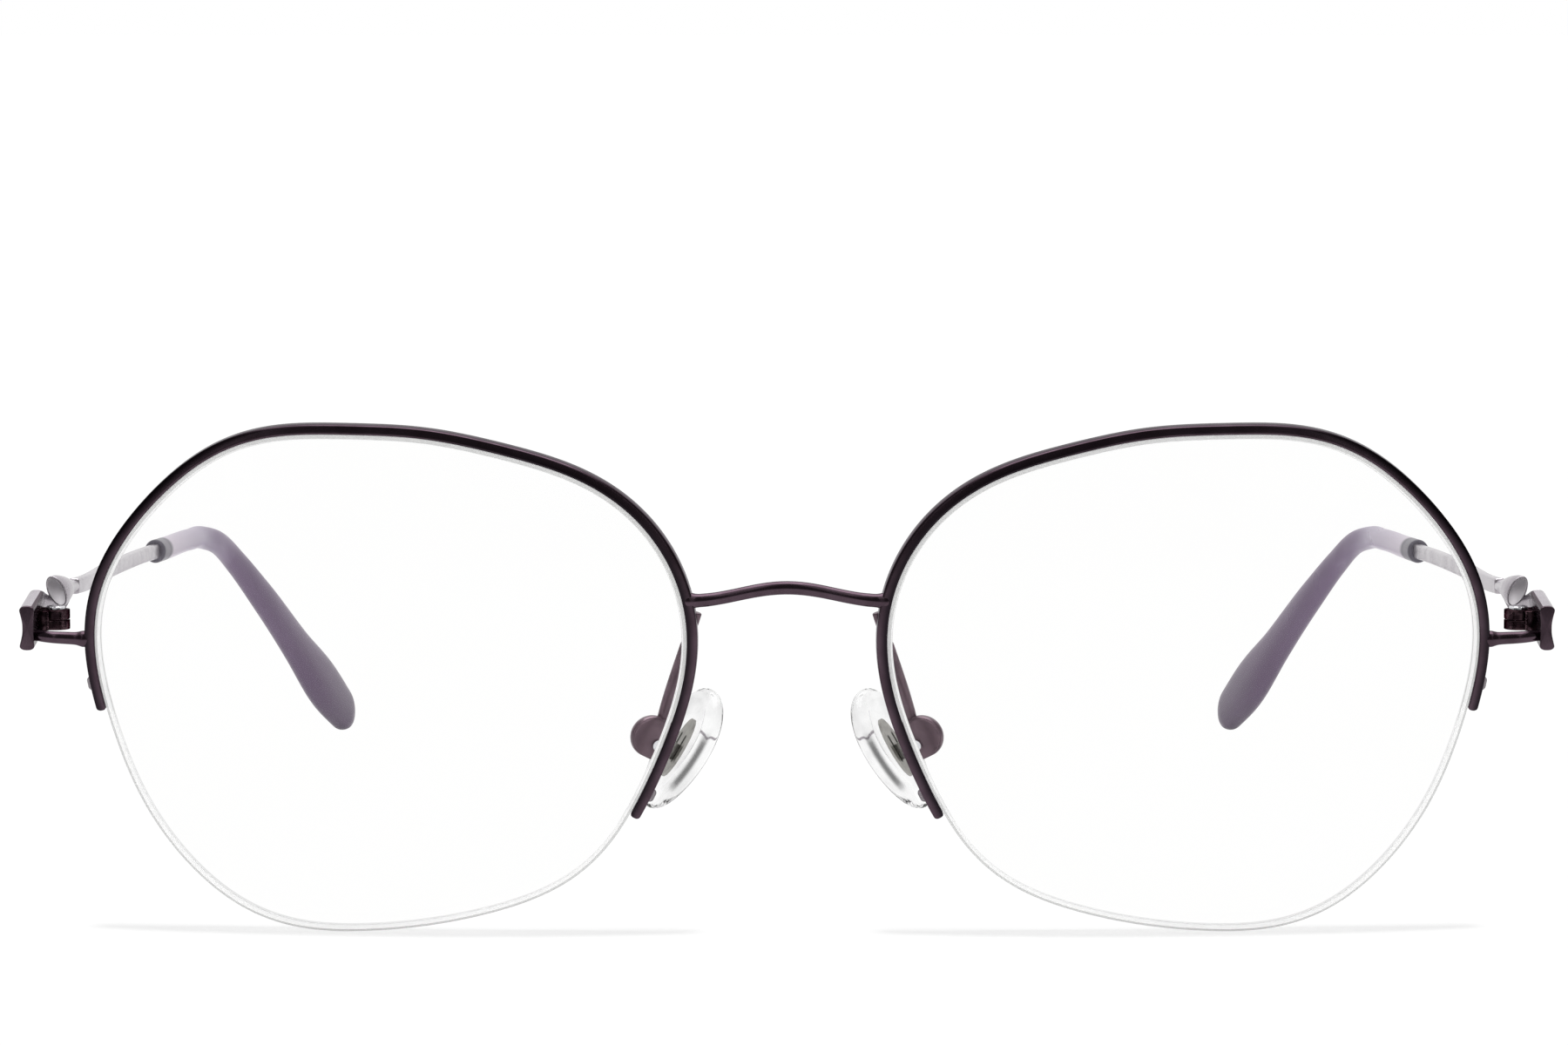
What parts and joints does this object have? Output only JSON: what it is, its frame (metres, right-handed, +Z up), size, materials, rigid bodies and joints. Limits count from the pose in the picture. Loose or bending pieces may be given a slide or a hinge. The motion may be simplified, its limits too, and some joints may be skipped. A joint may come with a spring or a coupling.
{
  "type": "semi-rimless eyeglasses",
  "caption": "Semi-rimless eyeglasses with clear lenses hung on cords under metal brow rims, folding temples with plastic tips and rocking nose pads.",
  "frame": {"origin": "middle of the footprint on the surface that the open glasses stand on", "axes": "+X to the wearer's left, +Y from the lenses back to the temple tips, +Z up"},
  "size_m": [0.142, 0.1376, 0.0478],
  "materials": {
    "plum_enamel": "satin",
    "dark_hinge": "satin",
    "bright_steel": "polished",
    "insert_steel": "satin",
    "clear_lens": "clear, polished",
    "clear_nylon": "clear",
    "clear_silicone": "clear, soft",
    "violet_tip": "translucent, polished"
  },
  "bodies": {
    "front": {"bridge": "plum_enamel", "left_rim": "plum_enamel", "right_rim": "plum_enamel", "left_lens": "clear_lens", "right_lens": "clear_lens", "left_rim_liner": "clear_nylon", "right_rim_liner": "clear_nylon", "left_nylon_cord": "clear_nylon", "right_nylon_cord": "clear_nylon", "left_endpiece": "plum_enamel", "right_endpiece": "plum_enamel", "left_front_hinge_leaf": "dark_hinge", "right_front_hinge_leaf": "dark_hinge", "left_hinge_screw": "bright_steel", "right_hinge_screw": "bright_steel", "left_pad_arm": "plum_enamel", "right_pad_arm": "plum_enamel", "left_pad_screw": "bright_steel", "right_pad_screw": "bright_steel"},
    "left_temple_arm": {"left_temple": "plum_enamel", "left_temple_hinge_leaf": "dark_hinge", "left_temple_tip": "violet_tip"},
    "right_temple_arm": {"right_temple": "plum_enamel", "right_temple_hinge_leaf": "dark_hinge", "right_temple_tip": "violet_tip"},
    "left_pad": {"left_nose_pad": "clear_silicone", "left_pad_core": "insert_steel"},
    "right_pad": {"right_nose_pad": "clear_silicone", "right_pad_core": "insert_steel"}
  },
  "joints": [
    {"name": "left_temple_fold", "type": "hinge", "parent": "front", "child": "left_temple_arm", "pos_m": [0.06817, -0.05828, 0.02874], "axis": [0, 0, 1], "range_deg": [0, 81]},
    {"name": "right_temple_fold", "type": "hinge", "parent": "front", "child": "right_temple_arm", "pos_m": [-0.06817, -0.05828, 0.02874], "axis": [0, 0, -1], "range_deg": [0, 72]},
    {"name": "left_pad_rock", "type": "hinge", "parent": "front", "child": "left_pad", "pos_m": [0.01235, -0.06081, 0.01758], "axis": [0.366, 0.9063, 0.2113], "range_deg": [-8, 8]},
    {"name": "right_pad_rock", "type": "hinge", "parent": "front", "child": "right_pad", "pos_m": [-0.01235, -0.06081, 0.01758], "axis": [-0.366, 0.9063, 0.2113], "range_deg": [-8, 8]}
  ]
}
